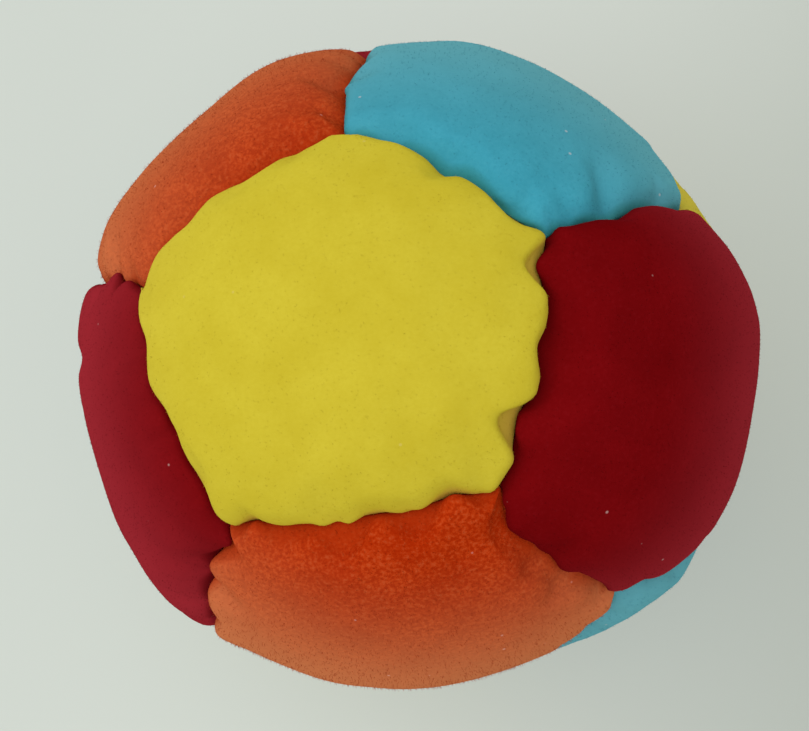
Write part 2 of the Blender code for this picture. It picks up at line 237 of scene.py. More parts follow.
Seam = namedtuple("Seam", "start ahead inward angle stitches edge")


def unit(vectors):
    """Each vector at a length of one."""
    return vectors / np.linalg.norm(vectors, axis=-1, keepdims=True)


def facing(polar, azimuth):
    """Unit direction this far from straight up, at this azimuth."""
    return np.array(
        (math.sin(polar) * math.cos(azimuth), math.sin(polar) * math.sin(azimuth), math.cos(polar))
    )


def smooth(share):
    """0 to 1 with no corner at either end."""
    share = np.clip(share, 0, 1)
    return share * share * (3 - 2 * share)


def on_curve(values, place):
    """Reads a smooth closed curve through evenly spaced values, at places counted from the first one."""
    number = np.floor(place).astype(int)
    a, b, c, d = (values[(number + k) % len(values)] for k in (-1, 0, 1, 2))
    share = place - number
    return b + share * (c - a + share * (2 * a - 5 * b + 4 * c - d + share * (3 * (b - c) + d - a))) / 2


def seam_ends():
    """Unit direction of each place where three seams meet, as the CAD model has it."""
    up = np.array((0.0, 0.0, 1.0))
    upper = [facing(LEAN_ANGLE, -math.pi / 2 + k * FIFTH) for k in range(SIDES)]
    lower = [facing(math.pi - LEAN_ANGLE, -math.pi / 2 + (k + 0.5) * FIFTH) for k in range(SIDES)]
    ends = {}
    for k in range(SIDES):
        after = (k + 1) % SIDES
        ends["top", k] = up + upper[k] + upper[after]
        ends["shoulder", k] = upper[k] + upper[after] + lower[k]
        ends["hip", k] = upper[after] + lower[k] + lower[after]
        ends["base", k] = lower[k] + lower[after] - up
    for key, end in ends.items():
        end = unit(end)
        right = unit(np.cross(up, end))
        share_right, share_up = SHIFT_SHARES.get(key, (0, 0))
        ends[key] = unit(end + (right * share_right + np.cross(end, right) * share_up) * SEAM_ANGLE)
    return ends


def panel_loops():
    """The five seam ends of each panel, anticlockwise as seen from outside."""
    loops = [[("top", k) for k in range(SIDES)]]
    for k in range(SIDES):
        before = (k - 1) % SIDES
        loops.append([("hip", before), ("shoulder", k), ("top", k), ("top", before), ("shoulder", before)])
    for k in range(SIDES):
        before = (k - 1) % SIDES
        loops.append([("base", before), ("base", k), ("hip", k), ("shoulder", k), ("hip", before)])
    loops.append([("base", k) for k in reversed(range(SIDES))])
    return dict(zip(PANEL_COLOURS, loops))


ENDS = seam_ends()
LOOPS = panel_loops()
MIDDLES = {name: unit(sum(ENDS[key] for key in loop)) for name, loop in LOOPS.items()}


def sides(name):
    """The two ends of each side of a panel, in order."""
    loop = LOOPS[name]
    return [(loop[side], loop[(side + 1) % SIDES]) for side in range(SIDES)]


def lobed_edge(stitches, wave, lean):
    """How far an evenly sewn edge lies over its neighbour: a rounded lobe between every two stitches."""
    share = np.arange(EDGE_STEPS + 1) / EDGE_STEPS
    marks = np.concatenate(([0.0], stitches, [1.0]))
    at = np.minimum(np.searchsorted(marks, share, side="right") - 1, len(stitches))
    low, high = marks[at], marks[at + 1]
    lobe = np.abs(np.sin(math.pi * (share - low) / (high - low))) ** 0.8 * ((high - low) * STITCHES) ** 0.7
    return (lean + wave * lobe) * smooth(share / EDGE_END) * smooth((1 - share) / EDGE_END)


def turning_edge(turns):
    """How far an unevenly sewn edge lies over its neighbour, running smoothly from each turn to the next."""
    share = np.arange(EDGE_STEPS + 1) / EDGE_STEPS
    places, over = np.array(((0, 0), *turns, (1, 0))).T
    after = np.clip(np.searchsorted(places, share, side="right"), 1, len(places) - 1)
    way = smooth((share - places[after - 1]) / (places[after] - places[after - 1]))
    return MM * (over[after - 1] + (over[after] - over[after - 1]) * way)


def make_seams():
    """Each seam once, from the panel that lies over it, by its two ends in either order."""
    owners = {edge: name for name in LOOPS for edge in sides(name)}
    order = list(LOOPS)
    hand = np.random.default_rng(11)
    seams = {}
    for (start, end), name in owners.items():
        other = owners[end, start]
        over = order.index(name) < order.index(other)
        if ((name, other) in LIES_OVER) or (over and (other, name) not in LIES_OVER):
            a, b = ENDS[start], ENDS[end]
            evenly = (np.arange(STITCHES) + 0.5) / STITCHES
            stitches = evenly + hand.uniform(-STITCH_SCATTER, STITCH_SCATTER, STITCHES)
            wave = WAVE * hand.uniform(*WAVE_SPREAD)
            edge = lobed_edge(stitches, wave, LEAN * hand.uniform(*LEAN_SPREAD))
            if (name, other) in HAND_SEAMS:
                stitches, turns = HAND_SEAMS[name, other]
                edge = turning_edge(turns)
            edge = edge + LEANING.get((name, other), 0)
            seams[start, end] = seams[end, start] = Seam(
                a,
                unit(b - a * (a @ b)),
                unit(np.cross(a, b)),
                math.acos(a @ b),
                stitches,
                edge,
            )
    return seams


SEAMS = make_seams()


def along_seam(seam, directions):
    """How far along a seam each direction lies, as a share of it, and how far across, in metres."""
    across = CREASE_RADIUS * np.arcsin(np.clip(directions @ seam.inward, -1, 1))
    share = np.arctan2(directions @ seam.ahead, directions @ seam.start) / seam.angle
    return share, across


def lean_over(places):
    """Moves the suede near each seam, so that one panel's edge lies over the other's in lobes."""
    reach = np.linalg.norm(places, axis=-1)
    directions = places / reach[..., None]
    moved = places.copy()
    for edge, seam in SEAMS.items():
        if list(ENDS).index(edge[0]) > list(ENDS).index(edge[1]):
            continue
        share, across = along_seam(seam, directions)
        amount = on_curve(seam.edge, np.clip(share, 0, 1) * EDGE_STEPS)
        amount *= np.exp(-((across / LEAN_REACH) ** 2))
        amount *= smooth(share / LEAN_END + 1) * smooth((1 - share) / LEAN_END + 1)
        amount *= smooth((reach - CREASE_RADIUS + LEAN_START) / LEAN_RISE)
        moved -= seam.inward * amount[..., None]
    return moved


def lumps(places, size, seed):
    """A soft unevenness with about this wavelength, from -1 to 1."""
    random = np.random.default_rng(seed)
    total = 0
    for _ in range(LUMP_WAVES):
        wave = unit(random.normal(size=3)) * math.tau / (size * random.uniform(*LUMP_SPREAD))
        total = total + np.sin(places @ wave + random.uniform(0, math.tau))
    return total / (LUMP_WAVES / 2)


def folded(name, directions):
    """How deep a panel's single folds are in each direction."""
    depth = 0.0
    for panel, deepest, end, deep, width in FOLDS:
        if panel == name:
            a, b = (facing(*map(math.radians, place)) for place in (deepest, end))
            ahead = unit(b - a * (a @ b))
            along = np.arctan2(directions @ ahead, directions @ a) / math.acos(a @ b)
            turn = np.clip(along, 0, 1)[..., None] * math.acos(a @ b)
            nearest = a * np.cos(turn) + ahead * np.sin(turn)
            off = CREASE_RADIUS * np.linalg.norm(directions - nearest, axis=-1)
            depth = depth + deep * (1 - smooth(along)) * np.exp(-((off / width) ** 2))
    return depth


def crown(name, directions):
    """How high a panel's face stands over the bottoms of its creases, in each direction."""
    roll, dome, swell, pucker = 1.0, 1.0, 1.0, folded(name, directions)
    hand = np.random.default_rng(list(LOOPS).index(name))
    for start, end in sides(name):
        seam = SEAMS[start, end]
        share, across = along_seam(seam, directions)
        away = np.abs(across)
        roll_width, pucker_depth = ROLL_WIDTH, PUCKER_DEPTH
        if MIDDLES[name] @ seam.inward < 0:
            roll_width, pucker_depth = UNDER_ROLL_WIDTH, UNDER_PUCKER_DEPTH
        roll = roll * np.sqrt(1 - (1 - np.clip(away / roll_width, 0, 1)) ** 2)
        dome = dome * (1 - (1 - np.clip(away / DOME_WIDTH, 0, 1)) ** DOME_POWER)
        swell = swell * (1 - (1 - np.clip(away / SWELL_WIDTH, 0, 1)) ** DOME_POWER)
        for stitch in seam.stitches:
            beside = (share - stitch) * seam.angle * CREASE_RADIUS
            pull = pucker_depth * hand.uniform(*PULL_SPREAD)
            pucker = pucker + pull * np.exp(-((beside / PUCKER_WIDTH) ** 2) - away / PUCKER_REACH)
    uneven = LUMP * lumps(directions * CROWN_RADIUS, LUMP_WAVE, list(LOOPS).index(name) + 50)
    return (ROLL_DEPTH - pucker + uneven) * roll + DOME_DEPTH * dome + FULLNESS.get(name, 0) * swell


def net_directions(name, side_steps, rings):
    """Unit directions of a panel's net, ring by ring from its edge, where the rings lie closest, inwards."""
    rim = []
    for start, end in sides(name):
        seam = SEAMS[start, end]
        a, b = ENDS[start], ENDS[end]
        for step in range(side_steps):
            turn = step / side_steps
            between = math.sin((1 - turn) * seam.angle) * a + math.sin(turn * seam.angle) * b
            rim.append(between / math.sin(seam.angle))
    rim = np.array(rim)
    inward = (np.arange(rings) / rings)[:, None, None] ** 2
    return unit(rim * (1 - inward) + MIDDLES[name] * inward)


def kept_inside(name, places, gap):
    """Moves whatever lies nearer than the gap to a seam's plane back to that distance from it."""
    for _ in range(3):  # because a move away from one seam can lead nearer to the next
        for start, end in sides(name):
            inward = unit(np.cross(ENDS[start], ENDS[end]))
            short = np.maximum(gap - places @ inward, 0)
            places = places + inward * short[..., None]
    return places


def settled(places, rise=0.0):
    """Where a point of the round bag goes when the bag lies slack, as in the CAD, at least this high."""
    level = places[..., 2] / CROWN_RADIUS
    reach = np.hypot(places[..., 0], places[..., 1]) / CROWN_RADIUS
    turn = np.arctan2(places[..., 1], places[..., 0]) / math.tau * len(OUTLINE)
    spread = 1 - SAG_SHARE * level * (1 - level * level) + on_curve(OUTLINE, turn) / CROWN_RADIUS * reach**2
    height = MIDDLE_HEIGHT + places[..., 2] * HALF_HEIGHT / CROWN_RADIUS - rise
    eased = np.where(height < -REST_BLEND, 0, (height + REST_BLEND) ** 2 / (4 * REST_BLEND))
    height = np.where(height < REST_BLEND, eased, height) + rise
    across = places[..., 0] * spread * (1 + OVAL_SHARE)
    along = places[..., 1] * spread * (1 - OVAL_SHARE)
    return np.stack([across, along, height], -1) + CENTRING


# The simulation's net, its scale and its strength
PUFF_DOUBLINGS = 2  # how many times its result is made twice as fine
PUFF_STEPS = SIDE_STEPS // 2**PUFF_DOUBLINGS  # points along one side of a panel
PUFF_RINGS = RINGS // 2**PUFF_DOUBLINGS
PUFF_SCALE = 10  # the bag is simulated this much larger, where the solver's defaults suit it
PUFF_FRAMES = 16
PUFF_PRESSURE = 6.0
PUFF_GROWTH = 0.02  # how much more suede there is than the net has, which is what gathers at the seams
MOST_PUFF = 1.0 * MM
QUICK_PUFF = 0.5 * MM  # a first puff for every net, which the simulation's result then replaces


def simulate_puff():
    """How far each point of each panel's coarse net moves when the suede is filled out from inside."""
    nets = {}
    for name in LOOPS:
        directions = net_directions(name, PUFF_STEPS, PUFF_RINGS)
        nets[name] = directions * (CREASE_RADIUS + crown(name, directions))[..., None]
    inward = (np.arange(PUFF_RINGS) / PUFF_RINGS)[:, None, None] ** 2
    moves = {name: unit(net) * QUICK_PUFF * smooth(inward * 4) for name, net in nets.items()}
    round_count = SIDES * PUFF_STEPS
    points, faces, held = [], [], []
    for name, net in nets.items():
        first = len(points)
        points += list(net.reshape(-1, 3) * PUFF_SCALE)
        top = len(points)
        crest = MIDDLES[name] * (CREASE_RADIUS + crown(name, MIDDLES[name]))
        points.append(crest * PUFF_SCALE)
        held += list(range(first, first + round_count))
        for ring in range(PUFF_RINGS):
            for i in range(round_count):
                a, b = first + ring * round_count + i, first + ring * round_count + (i + 1) % round_count
                if ring == PUFF_RINGS - 1:
                    faces.append((a, b, top))
                else:
                    faces.append((a, b, b + round_count, a + round_count))
    mesh = bpy.data.meshes.new("puffing")
    mesh.from_pydata(points, [], faces)
    bag = bpy.data.objects.new("puffing", mesh)
    bpy.context.scene.collection.objects.link(bag)
    pins = bag.vertex_groups.new(name="sewn")
    pins.add(held, 1.0, "REPLACE")
    cloth = bag.modifiers.new("suede", "CLOTH")
    settings = cloth.settings
    settings.quality = 5
    settings.mass = 0.4
    settings.vertex_group_mass = pins.name
    settings.tension_stiffness = settings.compression_stiffness = 25
    settings.shear_stiffness = 12
    settings.bending_stiffness = 4
    settings.tension_damping = settings.compression_damping = settings.shear_damping = 20
    settings.use_pressure = True
    settings.uniform_pressure_force = PUFF_PRESSURE
    settings.shrink_min = -PUFF_GROWTH
    settings.effector_weights.gravity = 0
    cloth.collision_settings.use_collision = False
    cloth.point_cache.frame_start, cloth.point_cache.frame_end = 1, PUFF_FRAMES
    for number in range(1, PUFF_FRAMES + 1):
        bpy.context.scene.frame_set(number)
    shaped = bag.evaluated_get(bpy.context.evaluated_depsgraph_get()).to_mesh()
    ended = np.empty(len(points) * 3, np.float32)
    shaped.vertices.foreach_get("co", ended)
    bpy.context.scene.frame_set(1)
    bpy.data.objects.remove(bag)
    ended = ended.reshape(len(nets), -1, 3)[:, :-1] / PUFF_SCALE
    for end, (name, net) in zip(ended, nets.items()):
        move = evened(end.reshape(net.shape) - net)
        far = np.linalg.norm(move, axis=-1, keepdims=True)
        moves[name] = move * np.minimum(1, MOST_PUFF / np.maximum(far, 1e-9))
    return moves


def evened(values):
    """A panel's net of values with each one drawn towards its four neighbours' mean, its edge kept."""
    ahead, behind = np.roll(values, -1, 1), np.roll(values, 1, 1)
    inner = np.concatenate((values[1:], values[-1:]))
    outer = np.concatenate((values[:1], values[:-1]))
    mixed = (ahead + behind + inner + outer) / 8 + values / 2
    mixed[0] = values[0]
    return mixed


def finer(values, axis, closed):
    """Twice as many values along an axis, on a smooth curve through the old ones."""
    values = np.moveaxis(values, axis, 0)
    if closed:
        before, after, further = np.roll(values, 1, 0), np.roll(values, -1, 0), np.roll(values, -2, 0)
    else:
        after = np.concatenate((values[1:], values[-1:]))
        further = np.concatenate((values[2:], values[-1:], values[-1:]))
        before = np.concatenate((2 * values[:1] - values[1:2], values[:-1]))
    between = (9 * (values + after) - before - further) / 16
    woven = np.stack((values, between), 1).reshape(-1, *values.shape[1:])
    return np.moveaxis(woven, 0, axis)


def panel_rings(name, move):
    """Every ring of a panel's finished shell, from its outer middle round its edge to its inner middle."""
    directions = net_directions(name, SIDE_STEPS, RINGS)
    face = directions * (CREASE_RADIUS + crown(name, directions))[..., None]
    for _ in range(PUFF_DOUBLINGS):
        move = finer(finer(move, 1, True), 0, False)
    face = face + move
    lining = face[::LINING_STEP] - directions[::LINING_STEP] * SUEDE
    face = settled(lean_over(kept_inside(name, face, SEAM_GAP / 2)))
    lining = settled(lean_over(kept_inside(name, lining, SEAM_GAP / 2 + SUEDE)), SUEDE)
    rim = directions[0]
    outside, inside = [], []
    for share in ALLOWANCE_SHARES:
        ring = rim * (CREASE_RADIUS - SEAM_ALLOWANCE * share)
        outside.append(settled(kept_inside(name, ring, SEAM_GAP / 2)))
        inside.append(settled(kept_inside(name, ring, SEAM_GAP / 2 + SUEDE), SUEDE))
    return [*face[::-1], *outside, *inside[::-1], *lining]


def make_panel(name, move):
    """One suede pentagon as a closed shell, which knows for its looks how far each point is from the seam."""
    rings = panel_rings(name, move)
    count = SIDES * SIDE_STEPS
    points = np.concatenate([rings[0].mean(0)[None], *rings, rings[-1].mean(0)[None]])
    faces = []
    last = len(points) - 1
    for i in range(count):
        j = (i + 1) % count
        faces.append((0, 1 + i, 1 + j))
        faces.append((last, last - count + j, last - count + i))
    starts = np.arange(len(rings) - 1)[:, None] * count + 1
    here = np.arange(count)
    there = (here + 1) % count
    quads = np.stack([starts + here, starts + count + here, starts + count + there, starts + there], -1)
    faces += [tuple(quad) for quad in quads.reshape(-1, 4).tolist()]
    mesh = bpy.data.meshes.new(name + "_suede")
    mesh.from_pydata(points.tolist(), [], faces)
    mesh.shade_smooth()
    shown = np.zeros(len(points), np.float32)
    shown[: 1 + (RINGS - 1) * count] = 1
    mesh.attributes.new("nap_side", "FLOAT", "POINT").data.foreach_set("value", shown)
    from_seam = np.zeros(len(points), np.float32)
    shares = (np.arange(RINGS)[::-1] / RINGS) ** 2
    from_seam[0] = 1
    from_seam[1 : 1 + RINGS * count] = np.repeat(shares, count)
    mesh.attributes.new("from_seam", "FLOAT", "POINT").data.foreach_set("value", from_seam)
    panel = bpy.data.objects.new(name + "_suede", mesh)
    bpy.context.scene.collection.objects.link(panel)
    return panel


def linear(code):
    """An sRGB hex colour as the linear values that a shader takes."""
    parts = [int(code[i : i + 2], 16) / 255 for i in (1, 3, 5)]
    return (*[p / 12.92 if p <= 0.04045 else ((p + 0.055) / 1.055) ** 2.4 for p in parts], 1.0)


def add(tree, kind, inputs, **settings):
    """Adds a node with its settings, and fills its inputs with values or with other nodes' outputs."""
    made = tree.nodes.new(kind)
    for name, value in settings.items():
        setattr(made, name, value)
    for name, value in inputs.items():
        if isinstance(value, bpy.types.NodeSocket):
            tree.links.new(value, made.inputs[name])
        else:
            made.inputs[name].default_value = value
    return made


def new_material(name, inputs):
    """A material with only a shader, which has these inputs, and its output; and its tree and the shader."""
    made = bpy.data.materials.new(name)
    made.use_nodes = True
    made.node_tree.nodes.clear()
    shader = add(made.node_tree, "ShaderNodeBsdfPrincipled", inputs)
    add(made.node_tree, "ShaderNodeOutputMaterial", {"Surface": shader.outputs["BSDF"]})
    return made, made.node_tree, shader


# Cow suede split, dyed in the drum and brushed. Its nap scatters light, so it has no gloss, and strokes that
# lie another way show as lighter and darker clouds; a painted sheen pales its colour where it is seen edge
# on. Shade is where the nap lies away from the eye, tip its ends and the painted sheen's colour,
# edge the painted shade and reflected colour along its seams. Then shares from 0 to 1: how coarse the nap
# is, how much painted sheen there is edge on, how far it is turned away when the painted sheen starts, how
# much more painted sheen there is towards the front, where more light fell, its sheen, and how much lint
# shows.
Suede = namedtuple("Suede", "dye shade tip edge coarse paling pales_from lay sheen lint")
SUEDES = {
    "yellow": Suede("#C4B333", "#BAA728", "#CFBD4E", "#B8923C", 0.22, 0.5, 0.25, 0.0, 0.20, 0.08),
    "orange": Suede("#B63A10", "#9A2203", "#D07E50", "#A8300C", 0.80, 0.80, 0.20, 0.18, 0.05, 0.3),
    "crimson": Suede("#72080C", "#640508", "#A42E38", "#5A0508", 0.20, 0.65, 0.35, 0.0, 0.15, 0.3),
    "blue": Suede("#3F98AC", "#338A9D", "#68A6AE", "#2F776F", 0.25, 0.7, 0.25, 0.0, 0.30, 0.3),
}
TUFT = 0.32 * MM  # width of a tuft of nap
SEAM_SHADE_WIDTH = 0.05  # width of the painted shade and reflected colour along the seams, as a share of the way from the seam to the middle
STROKE_SIZE = 6 * MM  # patches that a finger has brushed one way
LINT_SPACING = 3 * MM
LINT_SIZE = 0.16 * MM
LINT = "#EAD0CA"
NAP_DEPTH = 0.12 * MM
STROKE_DEPTH = 0.5 * MM
FIBRE_SHEEN_SHARE = 0.35  # how much painted sheen a loose fibre gets, as a share of the suede's painted sheen


def painted_sheen_share(tree, place, lay):
    """From 0 to 1, the share of painted sheen: how far the round bag, without its folds, is turned from the
    eye, less so at the back, where less light fell.
    """
    out = add(
        tree, "ShaderNodeVectorMath", {0: place, 1: (0, 0, MIDDLE_HEIGHT)}, operation="SUBTRACT"
    ).outputs[0]
    outward = add(
        tree,
        "ShaderNodeVectorTransform",
        {"Vector": out},
        vector_type="NORMAL",
        convert_from="OBJECT",
        convert_to="WORLD",
    ).outputs[0]
    away = add(tree, "ShaderNodeLayerWeight", {"Blend": 0.5, "Normal": outward}).outputs["Facing"]
    straight = add(tree, "ShaderNodeVectorMath", {0: out}, operation="NORMALIZE").outputs[0]
    frontness = add(
        tree, "ShaderNodeVectorMath", {0: straight, 1: (0, -1, 0)}, operation="DOT_PRODUCT"
    ).outputs["Value"]
    weight = add(
        tree, "ShaderNodeMath", {0: frontness, 1: lay, 2: 1 - lay}, operation="MULTIPLY_ADD"
    ).outputs[0]
    return add(tree, "ShaderNodeMath", {0: away, 1: weight}, operation="MULTIPLY").outputs[0]


def suede_material(colour):
    """Brushed suede in one of the bag's colours."""
    suede = SUEDES[colour]
    looks = {
        "Roughness": 1.0,
        "Specular IOR Level": 0.0,
        "Sheen Weight": suede.sheen,
        "Sheen Roughness": 0.35,
        "Sheen Tint": linear(suede.tip),
    }
    made, tree, shader = new_material("suede_split_brushed_" + colour, looks)
    place = add(tree, "ShaderNodeTexCoord", {}).outputs["Object"]
    tufts, strokes = (
        add(
            tree,
            "ShaderNodeTexNoise",
            {"Vector": place, "Scale": 1 / size, "Detail": detail, "Roughness": 0.6},
        ).outputs["Fac"]
        for size, detail in ((TUFT, 2.0), (STROKE_SIZE, 4.0))
    )
    specks = add(
        tree, "ShaderNodeTexVoronoi", {"Vector": place, "Scale": 1 / LINT_SPACING, "Randomness": 1.0}
    ).outputs["Distance"]
    from_seam = add(tree, "ShaderNodeAttribute", {}, attribute_name="from_seam").outputs["Fac"]
    # the share of painted sheen, by how far the bag is turned from the eye
    away = painted_sheen_share(tree, place, suede.lay)
    # The layers of colour from the bottom up: each one's colour, the value that brings it in, where that
    # value begins and ends to do so, how much of the layer there is then, and along what curve
    layers = (
        (suede.shade, strokes, 0.35, 0.68, 0.75, "LINEAR"),
        (suede.tip, tufts, 0.55, 0.70, 0.15 * suede.coarse, "LINEAR"),
        (suede.shade, tufts, 0.55, 0.40, suede.coarse, "LINEAR"),
        # painted sheen: paler where the bag is turned from the eye, and more so at the front
        (suede.tip, away, suede.pales_from, 1.0, suede.paling, "SMOOTHSTEP"),
        (LINT, specks, LINT_SIZE / LINT_SPACING, 0.6 * LINT_SIZE / LINT_SPACING, suede.lint, "LINEAR"),
        # painted shade along the seams, with the neighbouring panel's reflected colour on the yellow
        (suede.edge, from_seam, SEAM_SHADE_WIDTH, 0.0, 0.8, "LINEAR"),
    )
    shown = linear(suede.dye)
    for code, value, begins, ends, most, curve in layers:
        share = add(
            tree,
            "ShaderNodeMapRange",
            {"Value": value, "From Min": begins, "From Max": ends, "To Max": most},
            interpolation_type=curve,
        ).outputs["Result"]
        shown = add(
            tree, "ShaderNodeMix", {0: share, 6: shown, 7: linear(code)}, data_type="RGBA"
        ).outputs[2]
    tree.links.new(shown, shader.inputs["Base Color"])
    rough = add(
        tree, "ShaderNodeBump", {"Strength": 0.5 * suede.coarse, "Distance": NAP_DEPTH, "Height": tufts}
    ).outputs["Normal"]
    brushed = add(
        tree,
        "ShaderNodeBump",
        {"Strength": 0.35, "Distance": STROKE_DEPTH, "Height": strokes, "Normal": rough},
    ).outputs["Normal"]
    tree.links.new(brushed, shader.inputs["Normal"])
    return made


def nap_material(colour):
    """Loose fibres of the suede's nap, so thin that half of the light goes through them, with a share of the
    suede's painted sheen in their colour.
    """
    suede = SUEDES[colour]
    made, tree, shader = new_material(
        "suede_nap_" + colour, {"Roughness": 1.0, "Specular IOR Level": 0.0}
    )
    place = add(tree, "ShaderNodeTexCoord", {}).outputs["Object"]
    # painted sheen on the fibres: paler where the bag is turned from the eye
    painted_fibre_sheen = add(
        tree,
        "ShaderNodeMath",
        {0: painted_sheen_share(tree, place, suede.lay), 1: FIBRE_SHEEN_SHARE * suede.paling},
        operation="MULTIPLY",
    ).outputs[0]
    fibre = add(
        tree, "ShaderNodeMix", {0: painted_fibre_sheen, 6: linear(suede.dye), 7: linear(suede.tip)}, data_type="RGBA"
    ).outputs[2]
    tree.links.new(fibre, shader.inputs["Base Color"])
    through = add(tree, "ShaderNodeBsdfTranslucent", {"Color": fibre})
    mixed = add(
        tree, "ShaderNodeMixShader", {0: 0.5, 1: shader.outputs["BSDF"], 2: through.outputs["BSDF"]}
    ).outputs["Shader"]
    out = next(node for node in tree.nodes if node.type == "OUTPUT_MATERIAL")
    tree.links.new(mixed, out.inputs["Surface"])
    return made


def thread_material():
    """Waxed polyester thread: dark and dull, with its twisted plies a little lighter and darker."""
    made, tree, shader = new_material("polyester_thread_waxed", {"Roughness": 0.6})
    place = add(tree, "ShaderNodeTexCoord", {}).outputs["Object"]
    plies = add(
        tree,
        "ShaderNodeTexWave",
        {"Vector": place, "Scale": 1 / (6 * MM), "Distortion": 2.0, "Detail": 2.0},
    ).outputs["Fac"]
    colour = add(
        tree, "ShaderNodeMix", {0: plies, 6: linear("#2A2724"), 7: linear("#3D3934")}, data_type="RGBA"
    ).outputs[2]
    tree.links.new(colour, shader.inputs["Base Color"])
    twist = add(
        tree, "ShaderNodeBump", {"Strength": 0.6, "Distance": 0.05 * MM, "Height": plies}
    ).outputs["Normal"]
    tree.links.new(twist, shader.inputs["Normal"])
    return made


def pellet_material():
    """Moulded polyethylene pellets: grey-white, a little uneven in colour, with a dull gloss."""
    made, tree, shader = new_material("polyethylene_pellets_moulded", {"Roughness": 0.45})
    place = add(tree, "ShaderNodeTexCoord", {}).outputs["Object"]
    batch = add(
        tree, "ShaderNodeTexNoise", {"Vector": place, "Scale": 1 / (2.5 * MM), "Detail": 2.0}
    ).outputs["Fac"]
    colour = add(
        tree, "ShaderNodeMix", {0: batch, 6: linear("#A9A496"), 7: linear("#C9C5B8")}, data_type="RGBA"
    ).outputs[2]
    tree.links.new(colour, shader.inputs["Base Color"])
    return made


def grown(name, source, tree, values):
    """The plain mesh that a node tree grows on a source object, as a new piece at the origin."""
    grower = source.modifiers.new(name, "NODES")
    grower.node_group = tree
    sockets = {item.name: item.identifier for item in tree.interface.items_tree if item.in_out == "INPUT"}
    for label, value in values.items():
        grower[sockets[label]] = value
    graph = bpy.context.evaluated_depsgraph_get()
    mesh = bpy.data.meshes.new_from_object(source.evaluated_get(graph))
    source.modifiers.remove(grower)
    mesh.name = name
    piece = bpy.data.objects.new(name, mesh)
    bpy.context.scene.collection.objects.link(piece)
    return piece


def new_tree(name, inputs):
    """A node tree that takes a shape and these named sizes, with its input node."""
    tree = bpy.data.node_groups.new(name, "GeometryNodeTree")
    tree.interface.new_socket("Geometry", in_out="OUTPUT", socket_type="NodeSocketGeometry")
    tree.interface.new_socket("Geometry", in_out="INPUT", socket_type="NodeSocketGeometry")
    for label, kind in inputs.items():
        tree.interface.new_socket(label, in_out="INPUT", socket_type="NodeSocket" + kind)
    return tree, tree.nodes.new("NodeGroupInput").outputs


HAIRS_PER_MM2 = {"yellow": 2, "orange": 4, "crimson": 3, "blue": 3}
HAIR_LENGTH = {"yellow": 0.20 * MM, "orange": 0.34 * MM, "crimson": 0.16 * MM, "blue": 0.18 * MM}
HAIR_THICKNESS = 0.035 * MM
SHORTEST_HAIR = 0.5  # as a share of the longest
RUFFLE = 0.9  # how far a hair leans at random, as a share of its length
BRUSHED = (0.35, -0.25, 0.0)  # how far all hairs lean, as they were last brushed
NAP_FLOOR = 0.8 * MM  # no hair grows where the bag rests on the table


def end_tree(tree, points, shape, turn, size, material):
    """Ends a node tree: a shape on every point, turned and sized, and all of them as one plain mesh."""
    placed = add(
        tree,
        "GeometryNodeInstanceOnPoints",
        {"Points": points, "Instance": shape, "Rotation": turn, "Scale": size},
    ).outputs["Instances"]
    real = add(tree, "GeometryNodeRealizeInstances", {"Geometry": placed}).outputs["Geometry"]
    shaded = add(
        tree, "GeometryNodeSetMaterial", {"Geometry": real, "Material": material}
    ).outputs["Geometry"]
    add(tree, "NodeGroupOutput", {0: shaded})


